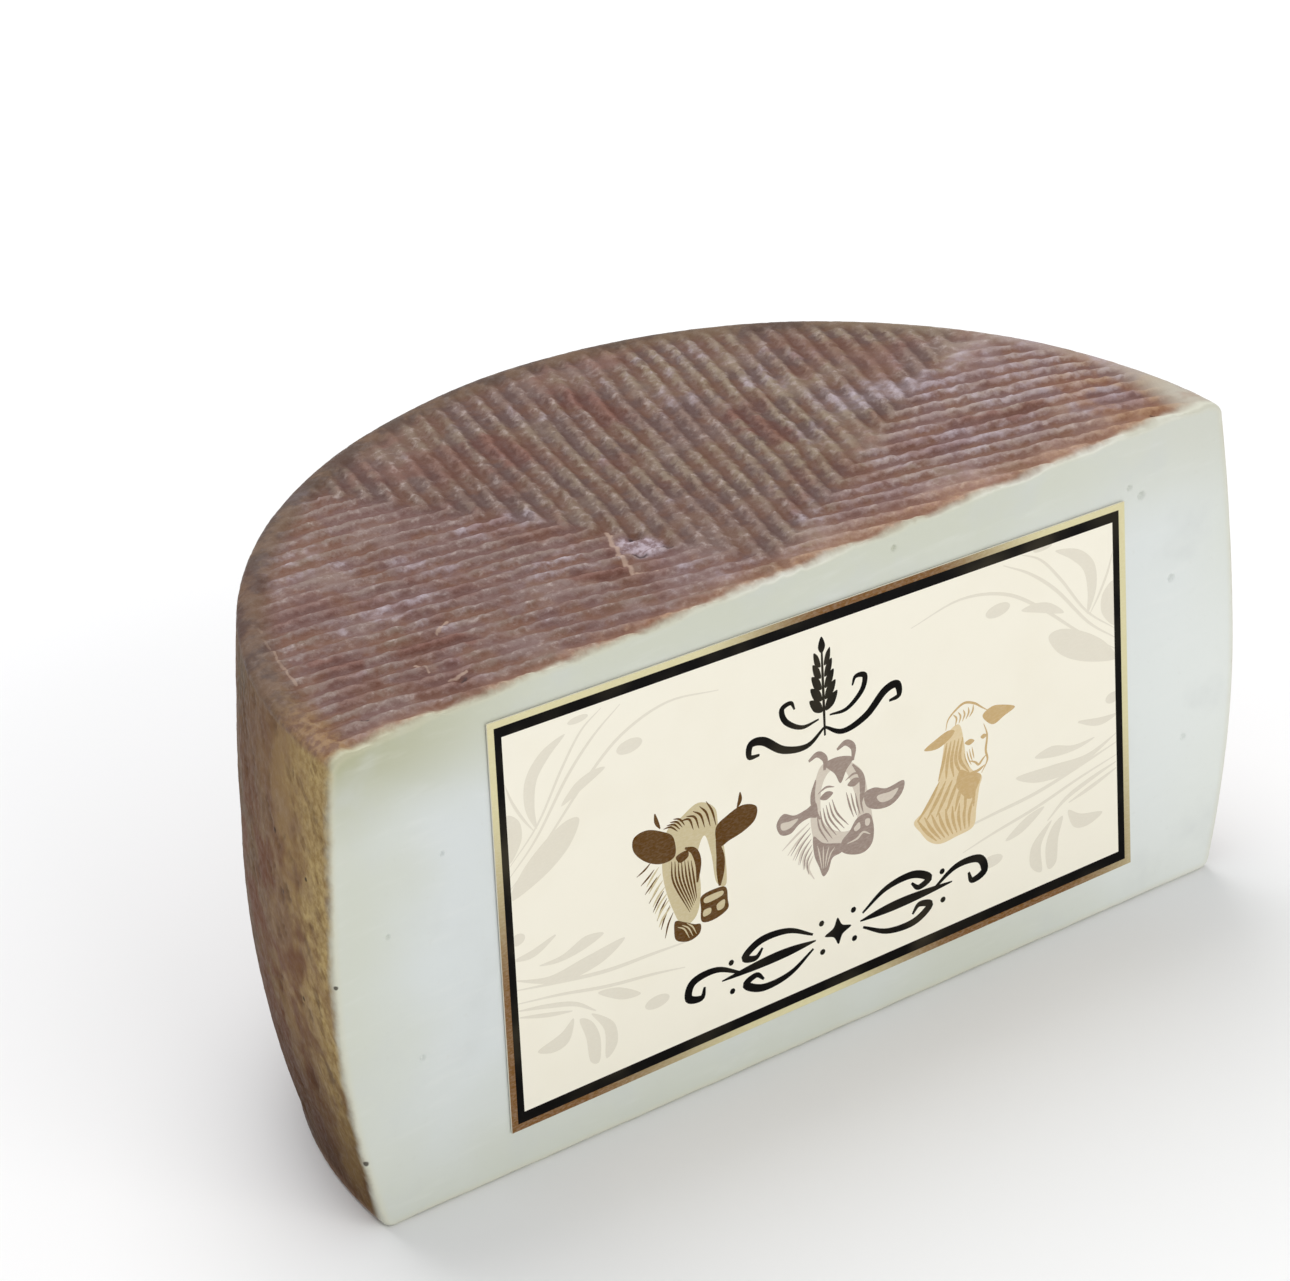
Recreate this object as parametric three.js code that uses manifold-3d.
// Half a wheel of pressed cheese, with a paper label stuck on its cut face.
//
// Frame: millimetres, +Z up. The origin is on the table, at the bottom centre of the whole part's box.
// The cut face stands upright and looks along -Y. X runs along the cut, through the wheel's axis.

import * as THREE from "three";
import { mergeVertices } from "three/addons/utils/BufferGeometryUtils.js";
import Module from "manifold-3d";

// The wheel: a drum pressed in a mould, a little swollen at the waist and drawn in towards its base.
const WHEEL_HEIGHT = 98.5;
const WAIST_RADIUS = 100;
const WAIST_HEIGHT = 50;
const BASE_TAPER = 7; // how far the wall draws in from the waist to the base
const TOP_TAPER = 2.55; // and from the waist to the top
const BASE_CORNER = 2; // size of the rounded corner between the wall and the base
const RIM_DEPTH = 4; // the top edge starts to turn in this far down the wall
const RIM_CORNER = 1.7; // its tight corner starts this far down
const RIM_WIDTH = 20; // and the top falls away to it over this width
const AROUND = 128; // facets round the whole wheel, a multiple of four so that a corner lies on the cut
const WALL_STEPS = 14;
const CORNER_STEPS = 5;
const RIM_STEPS = 12;

// The label: printed paper, stuck near the middle of the cut face and trimmed a little out of square.
const LABEL_WIDTH = 140;
const LABEL_LEFT_HEIGHT = 83.5;
const LABEL_RIGHT_HEIGHT = 76;
const LABEL_THICKNESS = 0.3;
const LABEL_GLUE = 0.1; // the film of glue that keeps it off the cheese
const LABEL_ALONG = 4.2; // its middle, along the cut from the wheel's axis
const LABEL_UP = 8.7; // its level lower edge, above the table

const wasm = await Module();
wasm.setup();

// The wall is widest at the waist and draws in along a parabola below it and above it.
function wallRadius(height) {
  if (height < WAIST_HEIGHT) {
    return WAIST_RADIUS - BASE_TAPER * (1 - height / WAIST_HEIGHT) ** 2;
  }
  const climb = (height - WAIST_HEIGHT) / (WHEEL_HEIGHT - WAIST_HEIGHT);
  return WAIST_RADIUS - TOP_TAPER * climb ** 2;
}

// The wheel's outline from the middle of its base to the middle of its top, as radius and height.
function wheelOutline() {
  const point = (radius, height) => new THREE.Vector2(radius, height);
  const baseRadius = wallRadius(0);
  const topRadius = wallRadius(WHEEL_HEIGHT);
  const rimStart = WHEEL_HEIGHT - RIM_DEPTH;

  const corner = new THREE.QuadraticBezierCurve(
    point(baseRadius - BASE_CORNER, 0),
    point(baseRadius, 0),
    point(wallRadius(BASE_CORNER), BASE_CORNER),
  ).getPoints(CORNER_STEPS);

  const wall = [];
  for (let i = 1; i < WALL_STEPS; i += 1) {
    const height = THREE.MathUtils.lerp(BASE_CORNER, rimStart, i / WALL_STEPS);
    wall.push(point(wallRadius(height), height));
  }

  const rim = new THREE.CubicBezierCurve(
    point(wallRadius(rimStart), rimStart),
    point(topRadius, WHEEL_HEIGHT - RIM_CORNER),
    point(topRadius - RIM_CORNER, WHEEL_HEIGHT),
    point(topRadius - RIM_WIDTH, WHEEL_HEIGHT),
  ).getPoints(RIM_STEPS);

  return [point(0, 0), ...corner, ...wall, ...rim, point(0, WHEEL_HEIGHT)];
}

// A closed three.js geometry as a solid that can be cut.
function toSolid(geometry) {
  const bare = geometry.clone();
  bare.deleteAttribute("normal");
  bare.deleteAttribute("uv");
  const merged = mergeVertices(bare, 1e-4);
  return new wasm.Manifold(
    new wasm.Mesh({
      numProp: 3,
      vertProperties: new Float32Array(merged.attributes.position.array),
      triVerts: new Uint32Array(merged.index.array),
    }),
  );
}

function toGeometry(solid) {
  const mesh = solid.getMesh();
  const geometry = new THREE.BufferGeometry();
  geometry.setAttribute("position", new THREE.BufferAttribute(mesh.vertProperties, 3));
  geometry.setIndex(new THREE.BufferAttribute(mesh.triVerts, 1));
  const faceted = geometry.toNonIndexed();
  faceted.computeVertexNormals();
  return faceted;
}

// The whole wheel is turned about its upright axis, then everything in front of that axis is cut away.
function makeCheese() {
  const wheel = new THREE.LatheGeometry(wheelOutline(), AROUND).rotateX(Math.PI / 2);
  const reach = 2.2 * WAIST_RADIUS;
  const front = new THREE.BoxGeometry(reach, reach, reach);
  front.translate(0, -reach / 2, WHEEL_HEIGHT / 2);
  const half = toSolid(wheel).subtract(toSolid(front));

  const paste = new THREE.MeshStandardMaterial({ color: 0xdfdfcf, roughness: 0.5, metalness: 0 });
  const cheese = new THREE.Mesh(toGeometry(half), paste);
  cheese.name = "cheese";
  return cheese;
}

function makeLabel() {
  const half = LABEL_WIDTH / 2;
  const outline = new THREE.Shape([
    new THREE.Vector2(-half, 0),
    new THREE.Vector2(half, 0),
    new THREE.Vector2(half, LABEL_RIGHT_HEIGHT),
    new THREE.Vector2(-half, LABEL_LEFT_HEIGHT),
  ]);
  const sheet = new THREE.ExtrudeGeometry(outline, { depth: LABEL_THICKNESS, bevelEnabled: false });
  sheet.rotateX(Math.PI / 2);

  const paper = new THREE.MeshStandardMaterial({ color: 0xede8d4, roughness: 0.45, metalness: 0 });
  const label = new THREE.Mesh(sheet, paper);
  label.name = "label";
  label.position.set(LABEL_ALONG, -LABEL_GLUE, LABEL_UP);
  return label;
}

// The pieces are placed from the wheel's axis. This moves that axis so that the box is centred front to back.
const halfWheel = new THREE.Group();
halfWheel.position.y = -(WAIST_RADIUS - LABEL_GLUE - LABEL_THICKNESS) / 2;
halfWheel.add(makeCheese(), makeLabel());

const part = new THREE.Group();
part.add(halfWheel);

export default part;
